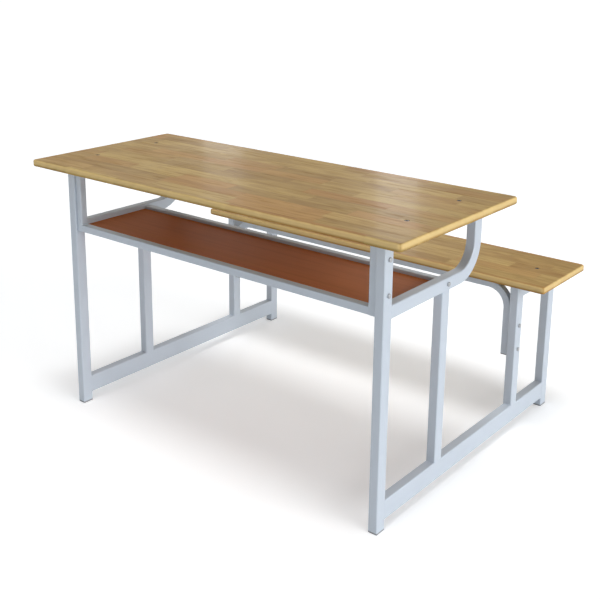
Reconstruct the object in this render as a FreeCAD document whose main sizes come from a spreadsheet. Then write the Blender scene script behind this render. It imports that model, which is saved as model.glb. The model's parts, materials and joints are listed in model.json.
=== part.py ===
import FreeCAD, Part
import math
import operator
import os
import Sketcher
from types import SimpleNamespace

# Two-seat student desk with its bench on the same pair of side frames.
# Millimetres. X runs along the desk, +Y from the desk to the bench, Z up from the floor.
# The origin lies on the floor, under the middle of the whole part.

SIZES = {
    # Wooden desk top and bench seat
    "top_length": 1200.0,
    "top_depth": 510.0,
    "top_thick": 18.0,
    "desk_height": 720.0,
    "seat_length": 1200.0,
    "seat_depth": 260.0,
    "seat_thick": 18.0,
    "seat_height": 436.0,
    "seat_gap": 184.0,            # back edge of the top to front edge of the seat
    "slab_corner": 10.0,          # corner radius seen from above
    "slab_round": 5.0,            # rounding along the upper edges
    "slab_ease": 2.5,             # flat taken off the lower edges
    # Side frames of rectangular tube
    "end_overhang": 75.0,         # the shorter of top and seat, past each side frame
    "tube_wide": 25.0,
    "tube_deep": 32.0,
    "tube_wall": 1.4,
    "tube_corner": 2.0,           # taken off each outer corner of the tube
    "rail_tall": 50.0,
    "rail_lift": 26.0,            # floor to the base rail
    "top_overhang_front": 60.0,
    "top_overhang_back": 31.0,
    "seat_overhang_front": 10.0,
    "seat_overhang_back": 24.0,
    "arm_drop": 187.0,            # underside of the top to underside of the shelf arm
    "arm_bend": 76.0,             # centreline radius of the shelf arm
    "post_run": 66.0,             # start of the arm's bend back to the rear post's centre
    # Shelf and bench stretcher of square tube
    "slim_tube": 20.0,
    "slim_wall": 1.2,
    "slim_corner": 1.6,
    "shelf_run": 59.0,            # start of the arm's bend back to the rear rail's centre
    "board_thick": 8.0,
    "board_play": 1.0,            # gap left round the shelf board
    "lug_long": 30.0,
    "lug_wide": 22.0,
    "lug_thick": 2.5,
    "lug_inset": 80.0,            # middle of an outer lug, in from the end of the front rail
    "stretcher_drop": 200.0,      # underside of the seat to the stretcher's lower ends
    "stretcher_bend": 58.0,       # centreline radius
    # Plastic caps in the open tube ends
    "foot_flange": 4.0,
    "foot_insert": 18.0,
    "end_flange": 2.5,
    "end_insert": 12.0,
    "cap_wall": 2.0,
    "cap_play": 0.2,
    # Bolts, nuts and screws
    "bolt_size": 6.0,
    "bolt_past": 2.0,             # thread standing out of the nut
    "hole_play": 0.4,             # added to a bolt's diameter for its hole
    "head_size": 11.5,            # across the corners of a hexagon head
    "head_tall": 4.0,
    "nut_size": 11.5,             # across the corners
    "nut_tall": 5.0,
    "sunk_head": 12.0,
    "sunk_tall": 3.0,
    "sunk_drop": 0.4,             # top of a sunk head below the wood
    "top_bolt_pitch": 224.0,
    "seat_bolt_back": 119.0,      # back edge of the seat to the seat bolt
    "post_bolt_down": 48.0,       # underside of the top to the upper post bolt
    "post_bolt_up": 32.0,         # top of the shelf rail to the lower post bolt
    "stretcher_bolt_up": 20.0,    # stretcher's lower end to its lower bolt
    "stretcher_bolt_pitch": 68.0,
    "plug_long": 12.0,            # tapped plug in each end of the rear shelf rail
    "plug_play": 0.2,
    "screw_size": 4.0,
    "screw_bite": 6.0,            # into the shelf board
    "screw_head": 8.0,
    "screw_head_tall": 2.0,
}
ROUND_SIDES = 12                  # flats on a shank, a bored hole or a small round head

OPERATIONS = {"+": operator.add, "-": operator.sub, "*": operator.mul, "/": operator.truediv}
TURN_TO = {
    "X": FreeCAD.Rotation(FreeCAD.Vector(0, 1, 0), 90),
    "-X": FreeCAD.Rotation(FreeCAD.Vector(0, 1, 0), -90),
    "Z": FreeCAD.Rotation(),
    "-Z": FreeCAD.Rotation(FreeCAD.Vector(1, 0, 0), 180),
}
ACROSS = {"X": "YZ_Plane", "Y": "XZ_Plane", "Z": "XY_Plane"}
SIDES = {"left": -1, "right": 1}
OUTWARD = {-1: "-X", 1: "X"}


class Length:
    """A number together with the sheet formula that gives it."""

    def __init__(self, value, formula):
        self.value = float(value)
        self.formula = formula

    def __add__(self, other):
        return joined(self, "+", other)

    def __radd__(self, other):
        return joined(other, "+", self)

    def __sub__(self, other):
        return joined(self, "-", other)

    def __rsub__(self, other):
        return joined(other, "-", self)

    def __mul__(self, other):
        return joined(self, "*", other)

    def __rmul__(self, other):
        return joined(other, "*", self)

    def __truediv__(self, other):
        return joined(self, "/", other)

    def __neg__(self):
        return joined(-1, "*", self)


def as_length(number):
    if isinstance(number, Length):
        return number
    return Length(number, f"({number})")


def joined(left, sign, right):
    left = as_length(left)
    right = as_length(right)
    value = OPERATIONS[sign](left.value, right.value)
    return Length(value, f"({left.formula} {sign} {right.formula})")


def shorter_of(left, right):
    return Length(min(left.value, right.value), f"min({left.formula}; {right.formula})")


def size_sheet(doc):
    """The sheet of driving sizes, and a name for each of its cells."""
    sheet = doc.addObject("Spreadsheet::Sheet", "Sizes")
    names = {}
    for row, (name, value) in enumerate(SIZES.items(), 1):
        sheet.set(f"A{row}", name.replace("_", " "))
        sheet.set(f"B{row}", str(value))
        sheet.setAlias(f"B{row}", name)
        names[name] = Length(value, f"Sizes.{name}")
    doc.recompute()
    return SimpleNamespace(**names)


def bind(thing, name, length):
    thing.setExpression(name, as_length(length).formula)


def bind_place(thing, place):
    for axis, length in zip("xyz", place):
        bind(thing, f"Placement.Base.{axis}", length)


doc = FreeCAD.newDocument("student_desk")
s = size_sheet(doc)

# Heights
top_under = s.desk_height - s.top_thick
seat_under = s.seat_height - s.seat_thick
rail_top = s.rail_lift + s.rail_tall
arm_under = top_under - s.arm_drop
arm_z = arm_under + s.tube_deep / 2
shelf_under = arm_z - s.slim_tube / 2
lug_under = shelf_under + s.slim_corner
board_under = lug_under + s.lug_thick
stretcher_end = seat_under - s.stretcher_drop
post_bolt_heights = (arm_z + s.slim_tube / 2 + s.post_bolt_up, top_under - s.post_bolt_down)
stretcher_bolts_up = (s.stretcher_bolt_up, s.stretcher_bolt_up + s.stretcher_bolt_pitch)

# Places along the depth
overall_depth = s.top_depth + s.seat_gap + s.seat_depth
top_front = -overall_depth / 2
top_back = top_front + s.top_depth
seat_front = top_back + s.seat_gap
seat_back = seat_front + s.seat_depth
leg_y = top_front + s.top_overhang_front + s.tube_deep / 2
leg_back = leg_y + s.tube_deep / 2
arm_y = top_back - s.top_overhang_back - s.tube_deep / 2
arm_front = arm_y - s.tube_deep / 2
post_y = arm_y - s.arm_bend - s.post_run
rear_rail_y = arm_y - s.arm_bend - s.shelf_run
seat_post_y = seat_front + s.seat_overhang_front + s.tube_deep / 2
seat_post_back = seat_post_y + s.tube_deep / 2
rear_leg_y = seat_back - s.seat_overhang_back - s.tube_deep / 2
rear_leg_front = rear_leg_y - s.tube_deep / 2
board_front = leg_y + s.slim_tube / 2 + s.board_play
board_back = rear_rail_y - s.slim_tube / 2 - s.board_play
top_bolt_y = (leg_back + arm_front) / 2
seat_bolt_y = seat_back - s.seat_bolt_back

# Places along the length
side_outer = shorter_of(s.top_length, s.seat_length) / 2 - s.end_overhang
side_x = side_outer - s.tube_wide / 2
side_inner = side_outer - s.tube_wide
slim_x = side_inner - s.slim_tube / 2
slim_inner = side_inner - s.slim_tube

# Tube sections: wide, deep, wall, outer corner
LEG_TUBE = (s.tube_wide, s.tube_deep, s.tube_wall, s.tube_corner)
BASE_TUBE = (s.tube_wide, s.rail_tall, s.tube_wall, s.tube_corner)
SLIM_TUBE = (s.slim_tube, s.slim_tube, s.slim_wall, s.slim_corner)


def new_body(label, place=(0, 0, 0)):
    body = doc.addObject("PartDesign::Body", label)
    body.Label = label
    bind_place(body, place)
    return body


def sketch_in(body, role, what):
    """An empty sketch on one of the body's own origin planes."""
    sketch = body.newObject("Sketcher::SketchObject", f"{body.Label}_{what}")
    plane = next(part for part in body.Origin.OriginFeatures if part.Role == role)
    sketch.AttachmentSupport = [(plane, "")]
    sketch.MapMode = "FlatFace"
    return sketch


def constrain(sketch, length, kind, *parts):
    """A dimension in the sketch that follows the sheet."""
    number = sketch.addConstraint(Sketcher.Constraint(kind, *parts, length.value))
    sketch.setExpression(f"Constraints[{number}]", length.formula)


def line(start, end):
    return Part.LineSegment(FreeCAD.Vector(*start, 0), FreeCAD.Vector(*end, 0))


def arc(centre, radius, start, end):
    circle = Part.Circle(FreeCAD.Vector(*centre, 0), FreeCAD.Vector(0, 0, 1), radius)
    return Part.ArcOfCircle(circle, math.radians(start), math.radians(end))


def mirrored(*parts):
    return Sketcher.Constraint("Symmetric", *parts)


def rectangle(sketch, wide, deep):
    """A rectangle centred on the sketch's origin."""
    first = len(sketch.Geometry)
    x = wide.value / 2
    y = deep.value / 2
    corners = [(-x, -y), (x, -y), (x, y), (-x, y)]
    sketch.addGeometry([line(corners[n], corners[(n + 1) % 4]) for n in range(4)], False)
    sketch.addConstraint([Sketcher.Constraint("Coincident", first + n, 2, first + (n + 1) % 4, 1)
                          for n in range(4)])
    sketch.addConstraint([
        mirrored(first, 1, first, 2, -2),
        mirrored(first + 2, 1, first + 2, 2, -2),
        mirrored(first + 1, 1, first + 1, 2, -1),
    ])
    constrain(sketch, wide, "DistanceX", first, 1, first, 2)
    constrain(sketch, deep, "DistanceY", first + 1, 1, first + 1, 2)


def cut_rectangle(sketch, wide, deep, cut):
    """A rectangle centred on the sketch's origin with its corners cut off at 45 degrees."""
    first = len(sketch.Geometry)
    x = wide.value / 2
    y = deep.value / 2
    c = cut.value
    corners = [(c - x, -y), (x - c, -y), (x, c - y), (x, y - c),
               (x - c, y), (c - x, y), (-x, y - c), (-x, c - y)]
    sketch.addGeometry([line(corners[n], corners[(n + 1) % 8]) for n in range(8)], False)
    sketch.addConstraint([Sketcher.Constraint("Coincident", first + n, 2, first + (n + 1) % 8, 1)
                          for n in range(8)])
    sketch.addConstraint([
        mirrored(first, 1, first, 2, -2),
        mirrored(first + 4, 1, first + 4, 2, -2),
        mirrored(first + 2, 1, first + 2, 2, -1),
        mirrored(first + 6, 1, first + 6, 2, -1),
        mirrored(first + 2, 1, first + 6, 2, -2),
        mirrored(first, 1, first + 4, 2, -1),
    ])
    constrain(sketch, wide, "DistanceX", first + 6, 2, first + 2, 1)
    constrain(sketch, deep, "DistanceY", first, 2, first + 4, 1)
    constrain(sketch, cut, "DistanceX", first + 1, 1, first + 1, 2)
    constrain(sketch, cut, "DistanceY", first + 1, 1, first + 1, 2)


def rounded_rectangle(sketch, wide, deep, corner):
    """A rectangle with rounded corners, centred on the sketch's origin."""
    first = len(sketch.Geometry)
    x = wide.value / 2
    y = deep.value / 2
    r = corner.value
    sketch.addGeometry([
        line((r - x, -y), (x - r, -y)),
        line((x, r - y), (x, y - r)),
        line((x - r, y), (r - x, y)),
        line((-x, y - r), (-x, r - y)),
        arc((x - r, r - y), r, 270, 360),
        arc((x - r, y - r), r, 0, 90),
        arc((r - x, y - r), r, 90, 180),
        arc((r - x, r - y), r, 180, 270),
    ], False)
    rules = []
    for number in range(4):
        turn = first + 4 + number
        following = first + (number + 1) % 4
        rules.append(Sketcher.Constraint("Tangent", first + number, 2, turn, 1))
        rules.append(Sketcher.Constraint("Tangent", turn, 2, following, 1))
    for turn in (5, 6, 7):
        rules.append(Sketcher.Constraint("Equal", first + 4, first + turn))
    rules.append(Sketcher.Constraint("Horizontal", first + 2))
    rules.append(Sketcher.Constraint("Vertical", first + 3))
    rules.append(Sketcher.Constraint("Symmetric", first, 1, first, 2, -2))
    rules.append(Sketcher.Constraint("Symmetric", first + 1, 1, first + 1, 2, -1))
    sketch.addConstraint(rules)
    constrain(sketch, wide, "DistanceX", first + 3, 1, first + 1, 1)
    constrain(sketch, deep, "DistanceY", first, 1, first + 2, 1)
    constrain(sketch, corner, "Radius", first + 4)


def tube_sketch(body, role, section):
    wide, deep, wall, corner = section
    sketch = sketch_in(body, role, "section")
    cut_rectangle(sketch, wide, deep, corner)
    rectangle(sketch, wide - 2 * wall, deep - 2 * wall)
    return sketch


def pad(body, sketch, length, both_ways=False):
    feature = body.newObject("PartDesign::Pad", f"{body.Label}_pad")
    feature.Profile = sketch
    bind(feature, "Length", length)
    if both_ways:
        feature.SideType = "Symmetric"
    return feature


def straight_tube(label, axis, section, place, length):
    """A straight piece of tube with its middle at the place given."""
    body = new_body(label, place)
    pad(body, tube_sketch(body, ACROSS[axis], section), length, both_ways=True)
    return body


def sweep_tube(body, role, section, path):
    feature = body.newObject("PartDesign::AdditivePipe", f"{body.Label}_sweep")
    feature.Profile = tube_sketch(body, role, section)
    feature.Spine = path


def solid(body, kind, place, way, **lengths):
    """A basic solid added to or taken from a body, standing on its place and pointing one way."""
    feature = body.newObject(f"PartDesign::{kind}", f"{body.Label}_{kind}")
    feature.Placement = FreeCAD.Placement(FreeCAD.Vector(), TURN_TO[way])
    bind_place(feature, place)
    for name, length in lengths.items():
        bind(feature, name, length)
    return feature


def prism(body, place, way, across, length, sides=ROUND_SIDES):
    """A bar with flats, measured across its corners."""
    bar = solid(body, "AdditivePrism", place, way, Circumradius=across / 2, Height=length)
    bar.Polygon = sides


def bore(body, place, way, across, length):
    """A hole of the same form as a bar of this size."""
    hole = solid(body, "SubtractivePrism", place, way, Circumradius=across / 2, Height=length)
    hole.Polygon = ROUND_SIDES


def clear_of(across):
    """Size of a hole whose flats clear a bar of the size given."""
    return (across + s.hole_play) / math.cos(math.pi / ROUND_SIDES)


def drill_along_x(body, place, length):
    """A bolt's hole along X with its middle at the place given."""
    x, y, z = place
    bore(body, (x - length / 2, y, z), "X", clear_of(s.bolt_size), length)


def copies(label, body, places):
    """One piece for several equal ones: the body again at each place, turned about Z in degrees."""
    links = []
    for number, (place, turn) in enumerate(places, 1):
        link = doc.addObject("App::Link", f"{label}_{number}")
        link.LinkedObject = body
        rotation = FreeCAD.Rotation(FreeCAD.Vector(0, 0, 1), turn)
        link.Placement = FreeCAD.Placement(FreeCAD.Vector(), rotation)
        bind_place(link, place)
        links.append(link)
    group = doc.addObject("Part::Compound", label)
    group.Label = label
    group.Links = links
    return group


def slab(label, place, length, depth, thick, bolt_places):
    """A wooden slab with rounded upper edges and a stepped hole for each sunk bolt."""
    body = new_body(label, place)
    outline = sketch_in(body, "XY_Plane", "outline")
    rounded_rectangle(outline, length, depth, s.slab_corner)
    block = pad(body, outline, thick)
    easing = body.newObject("PartDesign::Chamfer", f"{label}_easing")
    easing.Base = (block, edges_at(block, 0))
    bind(easing, "Size", s.slab_ease)
    rounding = body.newObject("PartDesign::Fillet", f"{label}_rounding")
    rounding.Base = (easing, edges_at(easing, thick.value))
    bind(rounding, "Radius", s.slab_round)
    sink = s.sunk_tall + s.sunk_drop
    for x, y in bolt_places:
        bore(body, (x, y, as_length(0)), "Z", clear_of(s.bolt_size), thick)
        bore(body, (x, y, thick - sink), "Z", clear_of(s.sunk_head), sink)
    return body


def edges_at(feature, height):
    """Names of a feature's level edges at one height."""
    doc.recompute()
    return [f"Edge{number}" for number, edge in enumerate(feature.Shape.Edges, 1)
            if edge.BoundBox.ZLength < 0.001 and abs(edge.BoundBox.ZMin - height) < 0.001]


def desk_top():
    middle = (top_front + top_back) / 2
    places = [(side * side_x, top_bolt_y - middle + along * s.top_bolt_pitch / 2)
              for side in (-1, 1) for along in (-1, 1)]
    return slab("desk_top", (0, middle, top_under), s.top_length, s.top_depth, s.top_thick, places)


def bench_seat():
    middle = (seat_front + seat_back) / 2
    places = [(side * side_x, seat_bolt_y - middle) for side in (-1, 1)]
    return slab("bench_seat", (0, middle, seat_under), s.seat_length, s.seat_depth, s.seat_thick, places)


def front_leg(name, side):
    middle = (s.foot_flange + top_under) / 2
    length = top_under - s.foot_flange
    leg = straight_tube(f"front_leg_{name}", "Z", LEG_TUBE, (side * side_x, leg_y, middle), length)
    for height in post_bolt_heights:
        drill_along_x(leg, (as_length(0), as_length(0), height - middle), 2 * s.tube_wide)
    return leg


def shelf_arm(name, side):
    """The tube from the front leg that bends up to the back of the desk top."""
    body = new_body(f"shelf_arm_{name}", (side * side_x, leg_back, arm_z))
    reach = arm_y - leg_back
    rise = top_under - arm_z
    bend = s.arm_bend
    path = sketch_in(body, "YZ_Plane", "path")
    path.addGeometry([
        line((0, 0), (reach.value - bend.value, 0)),
        arc((reach.value - bend.value, bend.value), bend.value, 270, 360),
        line((reach.value, bend.value), (reach.value, rise.value)),
    ], False)
    path.addConstraint([
        Sketcher.Constraint("Coincident", 0, 1, -1, 1),
        Sketcher.Constraint("Horizontal", 0),
        Sketcher.Constraint("Tangent", 0, 2, 1, 1),
        Sketcher.Constraint("Tangent", 1, 2, 2, 1),
        Sketcher.Constraint("Vertical", 2),
    ])
    constrain(path, bend, "Radius", 1)
    constrain(path, reach, "DistanceX", -1, 1, 2, 2)
    constrain(path, rise, "DistanceY", -1, 1, 2, 2)
    sweep_tube(body, "XZ_Plane", LEG_TUBE, path)
    drill_along_x(body, (as_length(0), rear_rail_y - leg_back, as_length(0)), 2 * s.tube_wide)
    return body


def desk_rail(name, side):
    """The rail under one end of the desk top, which the top is bolted to."""
    length = arm_front - leg_back
    place = (side * side_x, top_bolt_y, top_under - s.tube_deep / 2)
    rail = straight_tube(f"desk_rail_{name}", "Y", LEG_TUBE, place, length)
    for along in (-1, 1):
        hole = (as_length(0), along * s.top_bolt_pitch / 2, -s.tube_deep)
        bore(rail, hole, "Z", clear_of(s.bolt_size), 2 * s.tube_deep)
    return rail


def desk_rear_post(name, side):
    place = (side * side_x, post_y, (rail_top + arm_under) / 2)
    return straight_tube(f"desk_rear_post_{name}", "Z", LEG_TUBE, place, arm_under - rail_top)


def base_rail(name, side):
    place = (side * side_x, (leg_back + rear_leg_front) / 2, s.rail_lift + s.rail_tall / 2)
    return straight_tube(f"base_rail_{name}", "Y", BASE_TUBE, place, rear_leg_front - leg_back)


def bench_front_post(name, side):
    middle = (rail_top + seat_under) / 2
    place = (side * side_x, seat_post_y, middle)
    post = straight_tube(f"bench_front_post_{name}", "Z", LEG_TUBE, place, seat_under - rail_top)
    for up in stretcher_bolts_up:
        hole = (as_length(0), as_length(0), stretcher_end + up - middle)
        drill_along_x(post, hole, 2 * s.tube_wide)
    return post


def bench_rear_leg(name, side):
    place = (side * side_x, rear_leg_y, (s.foot_flange + seat_under) / 2)
    return straight_tube(f"bench_rear_leg_{name}", "Z", LEG_TUBE, place, seat_under - s.foot_flange)


def seat_rail(name, side):
    """The rail under one end of the seat, which the seat is bolted to."""
    middle = (seat_post_back + rear_leg_front) / 2
    place = (side * side_x, middle, seat_under - s.tube_deep / 2)
    rail = straight_tube(f"seat_rail_{name}", "Y", LEG_TUBE, place, rear_leg_front - seat_post_back)
    hole = (as_length(0), seat_bolt_y - middle, -s.tube_deep)
    bore(rail, hole, "Z", clear_of(s.bolt_size), 2 * s.tube_deep)
    return rail


def shelf_end_post(name, side):
    """The upright of the shelf frame, bolted to the inner face of a front leg."""
    middle = (shelf_under + top_under) / 2
    place = (side * slim_x, leg_y, middle)
    post = straight_tube(f"shelf_end_post_{name}", "Z", SLIM_TUBE, place, top_under - shelf_under)
    for height in post_bolt_heights:
        hole = (as_length(0), as_length(0), height - middle)
        bore(post, hole, OUTWARD[side], clear_of(s.bolt_size), s.slim_tube)
    return post


def shelf_board():
    half = side_inner - s.board_play
    body = new_body("shelf_board", (-half, board_front, board_under))
    depth = board_back - board_front
    solid(body, "AdditiveBox", (0, 0, 0), "Z", Length=2 * half, Width=depth, Height=s.board_thick)
    for x, y in lug_middles():
        bore(body, (x + half, y - board_front, as_length(0)), "Z", s.screw_size, s.screw_bite)
    return body


def lug_middles():
    """Plan places of the six lugs, front row first."""
    front = leg_y + s.slim_tube / 2 + s.lug_wide / 2
    back = rear_rail_y - s.slim_tube / 2 - s.lug_wide / 2
    return [(along * (slim_inner - s.lug_inset), y) for y in (front, back) for along in (-1, 0, 1)]


def shelf_lugs():
    lug = new_body("lug_master")
    corner = (-s.lug_long / 2, -s.lug_wide / 2, as_length(0))
    solid(lug, "AdditiveBox", corner, "Z", Length=s.lug_long, Width=s.lug_wide, Height=s.lug_thick)
    bore(lug, (0, 0, 0), "Z", clear_of(s.screw_size), s.lug_thick)
    return copies("shelf_lugs", lug, [((x, y, lug_under), 0) for x, y in lug_middles()])


def shelf_screws():
    """Round-head screws from below, through the lugs into the board."""
    screw = new_body("screw_master")
    prism(screw, (0, 0, 0), "Z", s.screw_size, s.lug_thick + s.screw_bite)
    prism(screw, (0, 0, 0), "-Z", s.screw_head, s.screw_head_tall)
    return copies("shelf_screws", screw, [((x, y, lug_under), 0) for x, y in lug_middles()])


def bench_stretcher():
    """The bent tube under the seat's front, with both ends turned down beside the posts."""
    body = new_body("bench_stretcher", (-slim_x, seat_post_y, stretcher_end))
    span = 2 * slim_x
    rise = s.stretcher_drop - s.slim_tube / 2
    bend = s.stretcher_bend
    far = span.value - bend.value
    near_top = rise.value - bend.value
    path = sketch_in(body, "XZ_Plane", "path")
    path.addGeometry([
        line((0, 0), (0, near_top)),
        arc((bend.value, near_top), bend.value, 90, 180),
        line((bend.value, rise.value), (far, rise.value)),
        arc((far, near_top), bend.value, 0, 90),
        line((span.value, near_top), (span.value, 0)),
    ], False)
    path.addConstraint([
        Sketcher.Constraint("Coincident", 0, 1, -1, 1),
        Sketcher.Constraint("Vertical", 0),
        Sketcher.Constraint("Tangent", 0, 2, 1, 2),
        Sketcher.Constraint("Tangent", 1, 1, 2, 1),
        Sketcher.Constraint("Horizontal", 2),
        Sketcher.Constraint("Tangent", 2, 2, 3, 2),
        Sketcher.Constraint("Tangent", 3, 1, 4, 1),
        Sketcher.Constraint("Equal", 1, 3),
        Sketcher.Constraint("Vertical", 4),
        Sketcher.Constraint("PointOnObject", 4, 2, -1),
    ])
    constrain(path, bend, "Radius", 1)
    constrain(path, rise, "DistanceY", -1, 1, 2, 1)
    constrain(path, span, "DistanceX", -1, 1, 4, 2)
    sweep_tube(body, "XY_Plane", SLIM_TUBE, path)
    for up in stretcher_bolts_up:
        for side, end in ((-1, as_length(0)), (1, span)):
            bore(body, (end, as_length(0), up), OUTWARD[side], clear_of(s.bolt_size), s.slim_tube)
    return body


def tube_cap(label, section, place, flange, insert):
    """A plastic cap in the lower end of a tube, its flange as wide as the tube."""
    wide, deep, wall, corner = section
    body = new_body(label, place)
    outline = sketch_in(body, "XY_Plane", "flange")
    cut_rectangle(outline, wide, deep, corner)
    pad(body, outline, flange)
    gap = 2 * (wall + s.cap_play)
    inner = (wide - gap, deep - gap, s.cap_wall, s.cap_wall / 2)
    pad(body, tube_sketch(body, "XY_Plane", inner), flange + insert)
    return body


def foot_cap(label, side, y):
    return tube_cap(label, LEG_TUBE, (side * side_x, y, 0), s.foot_flange, s.foot_insert)


def stretcher_cap(name, side):
    place = (side * slim_x, seat_post_y, stretcher_end - s.end_flange)
    return tube_cap(f"stretcher_cap_{name}", SLIM_TUBE, place, s.end_flange, s.end_insert)


def hex_bolt(label, length):
    """A bolt along X: hexagon head on the outer side, shank inwards."""
    bolt = new_body(label)
    prism(bolt, (0, 0, 0), "-X", s.bolt_size, length)
    prism(bolt, (0, 0, 0), "X", s.head_size, s.head_tall, sides=6)
    return bolt


def sunk_bolt(label, length):
    """A bolt down Z with a flat round head, the top of the head at its place."""
    bolt = new_body(label)
    prism(bolt, (0, 0, 0), "-Z", s.bolt_size, length)
    prism(bolt, (0, 0, 0), "-Z", s.sunk_head, s.sunk_tall)
    return bolt


def hex_nut(label, way):
    nut = new_body(label)
    prism(nut, (0, 0, 0), way, s.nut_size, s.nut_tall, sides=6)
    bore(nut, (0, 0, 0), way, s.bolt_size, s.nut_tall)
    return nut


def on_both_sides(x, spots):
    """The same spots on the right side and, turned round, on the left."""
    right = [((x, y, z), 0) for y, z in spots]
    left = [((-x, y, z), 180) for y, z in spots]
    return right + left


def side_fasteners(nut):
    """Bolts that hold the shelf frame and the stretcher to the side frames.
    Their nuts sit inside the slim tubes, against the outer wall."""
    nut_seat = side_inner - s.slim_wall
    grip = s.tube_wide + s.slim_wall + s.nut_tall + s.bolt_past
    bolt = hex_bolt("side_bolt_master", grip)
    short = hex_bolt("rail_bolt_master", s.tube_wide + s.plug_long)
    posts = [(leg_y, height) for height in post_bolt_heights]
    ends = [(seat_post_y, stretcher_end + up) for up in stretcher_bolts_up]
    return [
        copies("shelf_post_bolts", bolt, on_both_sides(side_outer, posts)),
        copies("shelf_post_nuts", nut, on_both_sides(nut_seat, posts)),
        copies("stretcher_bolts", bolt, on_both_sides(side_outer, ends)),
        copies("stretcher_nuts", nut, on_both_sides(nut_seat, ends)),
        copies("shelf_rail_bolts", short, on_both_sides(side_outer, [(rear_rail_y, arm_z)])),
    ]


def shelf_rail_plugs():
    """Tapped steel plugs inside the ends of the rear shelf rail."""
    plug = new_body("plug_master")
    side = s.slim_tube - 2 * (s.slim_wall + s.plug_play)
    corner = (-s.plug_long, -side / 2, -side / 2)
    solid(plug, "AdditiveBox", corner, "Z", Length=s.plug_long, Width=side, Height=side)
    bore(plug, (0, 0, 0), "-X", s.bolt_size, s.plug_long)
    return copies("shelf_rail_plugs", plug, on_both_sides(side_inner, [(rear_rail_y, arm_z)]))


def wood_fasteners(nut):
    """Sunk bolts through the wood and the rails below it, and their nuts."""
    below = s.tube_deep + s.nut_tall + s.bolt_past - s.sunk_drop
    top_bolt = sunk_bolt("top_bolt_master", s.top_thick + below)
    seat_bolt = sunk_bolt("seat_bolt_master", s.seat_thick + below)
    top_spots = [(side * side_x, top_bolt_y + along * s.top_bolt_pitch / 2)
                 for side in (-1, 1) for along in (-1, 1)]
    seat_spots = [(side * side_x, seat_bolt_y) for side in (-1, 1)]

    def at_height(spots, height):
        return [((x, y, height), 0) for x, y in spots]

    return [
        copies("desk_top_bolts", top_bolt, at_height(top_spots, s.desk_height - s.sunk_drop)),
        copies("desk_top_nuts", nut, at_height(top_spots, top_under - s.tube_deep)),
        copies("seat_bolts", seat_bolt, at_height(seat_spots, s.seat_height - s.sunk_drop)),
        copies("seat_nuts", nut, at_height(seat_spots, seat_under - s.tube_deep)),
    ]


def side_frame(name, side):
    return [
        front_leg(name, side),
        shelf_arm(name, side),
        desk_rail(name, side),
        desk_rear_post(name, side),
        base_rail(name, side),
        bench_front_post(name, side),
        bench_rear_leg(name, side),
        seat_rail(name, side),
        foot_cap(f"front_foot_cap_{name}", side, leg_y),
        foot_cap(f"rear_foot_cap_{name}", side, rear_leg_y),
    ]


def shelf():
    pieces = [shelf_end_post(name, side) for name, side in SIDES.items()]
    pieces.append(straight_tube("shelf_front_rail", "X", SLIM_TUBE, (0, leg_y, arm_z), 2 * slim_inner))
    pieces.append(straight_tube("shelf_rear_rail", "X", SLIM_TUBE, (0, rear_rail_y, arm_z), 2 * side_inner))
    pieces.extend([shelf_rail_plugs(), shelf_board(), shelf_lugs(), shelf_screws()])
    return pieces


def all_pieces():
    pieces = [desk_top(), bench_seat()]
    for name, side in SIDES.items():
        pieces.extend(side_frame(name, side))
    pieces.extend(shelf())
    pieces.append(bench_stretcher())
    pieces.extend(stretcher_cap(name, side) for name, side in SIDES.items())
    pieces.extend(side_fasteners(hex_nut("side_nut_master", "-X")))
    pieces.extend(wood_fasteners(hex_nut("wood_nut_master", "-Z")))
    return pieces


def check(thing):
    if "Invalid" in thing.State or "Error" in thing.State:
        raise RuntimeError(f"{thing.Label} did not build")


pieces = all_pieces()
doc.recompute()
for thing in doc.Objects:
    check(thing)
os.makedirs("parts", exist_ok=True)
for piece in pieces:
    if piece.Shape.isNull() or not piece.Shape.isValid():
        raise RuntimeError(f"{piece.Label} has no sound shape")
    piece.Shape.exportStep(f"parts/{piece.Label}.step")
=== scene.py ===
import json
import math

import bmesh
import bpy
from mathutils import Matrix, Vector


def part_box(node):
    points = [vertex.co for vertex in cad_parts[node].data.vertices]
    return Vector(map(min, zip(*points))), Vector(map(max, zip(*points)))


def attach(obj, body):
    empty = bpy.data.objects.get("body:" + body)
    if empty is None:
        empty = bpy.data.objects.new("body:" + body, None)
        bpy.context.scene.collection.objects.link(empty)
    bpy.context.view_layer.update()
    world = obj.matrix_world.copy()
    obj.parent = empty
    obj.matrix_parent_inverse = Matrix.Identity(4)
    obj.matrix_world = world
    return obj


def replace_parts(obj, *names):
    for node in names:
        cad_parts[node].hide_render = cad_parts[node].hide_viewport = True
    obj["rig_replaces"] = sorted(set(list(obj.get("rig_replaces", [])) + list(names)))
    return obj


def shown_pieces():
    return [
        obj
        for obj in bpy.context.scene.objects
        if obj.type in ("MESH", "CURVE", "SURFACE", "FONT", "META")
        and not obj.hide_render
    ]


# Looks of a two-seat student desk and its bench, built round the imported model, in metres.
# X runs along the desk, +Y from the desk to the bench, Z up from the floor.

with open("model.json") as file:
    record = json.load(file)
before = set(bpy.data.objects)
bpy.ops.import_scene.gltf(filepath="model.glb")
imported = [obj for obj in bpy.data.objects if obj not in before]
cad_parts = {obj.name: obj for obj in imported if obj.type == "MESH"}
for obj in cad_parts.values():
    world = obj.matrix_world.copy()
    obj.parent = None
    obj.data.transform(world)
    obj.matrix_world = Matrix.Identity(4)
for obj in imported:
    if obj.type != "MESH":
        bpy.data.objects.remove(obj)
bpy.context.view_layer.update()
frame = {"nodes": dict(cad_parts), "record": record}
scene = bpy.context.scene
slot_of = {row["node"]: row["material_slot"] for row in frame["record"]["subparts"]}

X, Y, Z = 0, 1, 2
LOW, HIGH = 0, 1
BOTH = (LOW, HIGH)
INWARD = {LOW: 1, HIGH: -1}
FLOAT = "NodeSocketFloat"
VECTOR = "NodeSocketVector"

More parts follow.
